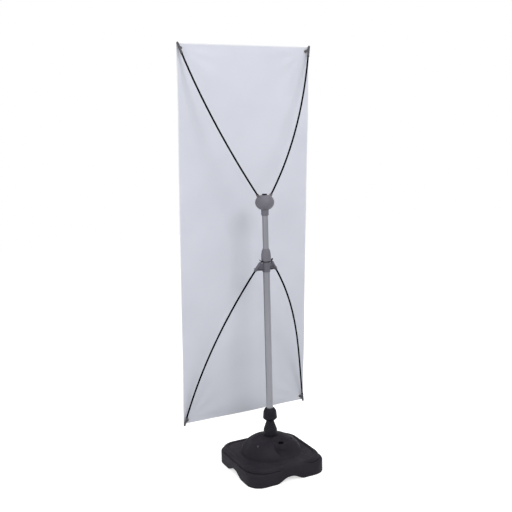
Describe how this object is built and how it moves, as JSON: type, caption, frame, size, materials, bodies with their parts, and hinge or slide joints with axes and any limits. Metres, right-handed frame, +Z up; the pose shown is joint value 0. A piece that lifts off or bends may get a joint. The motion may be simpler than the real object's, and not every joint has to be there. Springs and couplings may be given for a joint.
{
  "type": "x banner stand",
  "caption": "Free-standing banner display: a hung sheet held at its corners by bent rods on a telescopic mast in a water-filled tank base.",
  "frame": {"origin": "centre of the tank's flat underside, on the mast's axis, where the stand meets the floor", "axes": "+Z up along the mast, +X to the picture's left and across the banner, -Y towards the banner's display side"},
  "size_m": [0.6038, 0.4189, 1.7639],
  "materials": {
    "tank": "satin blow-moulded",
    "trim": "fine grain",
    "water": "clear liquid",
    "seal": "matt",
    "tube": "satin anodised",
    "grey": "satin",
    "clip": "dark satin",
    "silver": "bright",
    "nylon": "natural",
    "rod": "smooth black sleeve",
    "hook": "satin",
    "banner": "smooth white back"
  },
  "bodies": {
    "base": {"base_tank": "tank", "water_fill": "water", "neck_cap": "trim"},
    "nut": {"neck_nut": "trim"},
    "filler": {"filler_cap": "trim", "filler_seal": "seal"},
    "swivel": {"neck_collet": "nylon"},
    "mast": {"lower_tube": "tube", "mast_spigot": "trim", "lock_thread": "grey", "lock_collet": "nylon"},
    "lock": {"lock_collar": "grey"},
    "upper_pole": {"upper_tube": "tube", "upper_tube_plug": "trim", "hub_rear_half": "grey", "hub_front_half": "grey", "hub_screw_left": "silver", "hub_screw_right": "silver", "hub_cap": "trim", "rod_ferrule_left": "silver", "rod_ferrule_right": "silver", "upper_rod_left": "rod", "upper_rod_right": "rod", "upper_hook_left": "hook", "upper_hook_right": "hook"},
    "slider": {"slider_bracket": "grey", "slider_clip": "clip", "lower_rod_left": "rod", "lower_rod_right": "rod", "lower_hook_left": "hook", "lower_hook_right": "hook"},
    "sheet": {"banner": "banner", "upper_eyelet_left": "silver", "upper_eyelet_right": "silver", "lower_eyelet_left": "silver", "lower_eyelet_right": "silver"}
  },
  "joints": [
    {"name": "neck_nut_turn", "type": "hinge", "parent": "base", "child": "nut", "pos_m": [0, 0, 0.23], "axis": [0, 0, 1], "continuous": true},
    {"name": "filler_cap_lift", "type": "slide", "parent": "base", "child": "filler", "axis": [0, 0, 1], "range_m": [0, 0.03]},
    {"name": "mast_swivel", "type": "hinge", "parent": "base", "child": "swivel", "pos_m": [0, 0, 0.2], "axis": [0, 0, 1], "continuous": true},
    {"name": "mast_lift", "type": "slide", "parent": "swivel", "child": "mast", "axis": [0, 0, 1], "range_m": [0, 0.24]},
    {"name": "lock_collar_turn", "type": "hinge", "parent": "mast", "child": "lock", "pos_m": [0, 0, 0.91], "axis": [0, 0, 1], "range_deg": [0, 90]},
    {"name": "pole_telescope", "type": "slide", "parent": "mast", "child": "upper_pole", "axis": [0, 0, 1], "range_m": [-0.12, 0]},
    {"name": "slider_slide", "type": "slide", "parent": "mast", "child": "slider", "axis": [0, 0, 1], "range_m": [-0.12, 0]},
    {"name": "banner_unhook", "type": "slide", "parent": "upper_pole", "child": "sheet", "axis": [0, -0.9979, 0.0649], "range_m": [0, 0.1]}
  ],
  "couplings": [
    {"joint": "slider_slide", "follows": "pole_telescope", "ratio": 1}
  ]
}
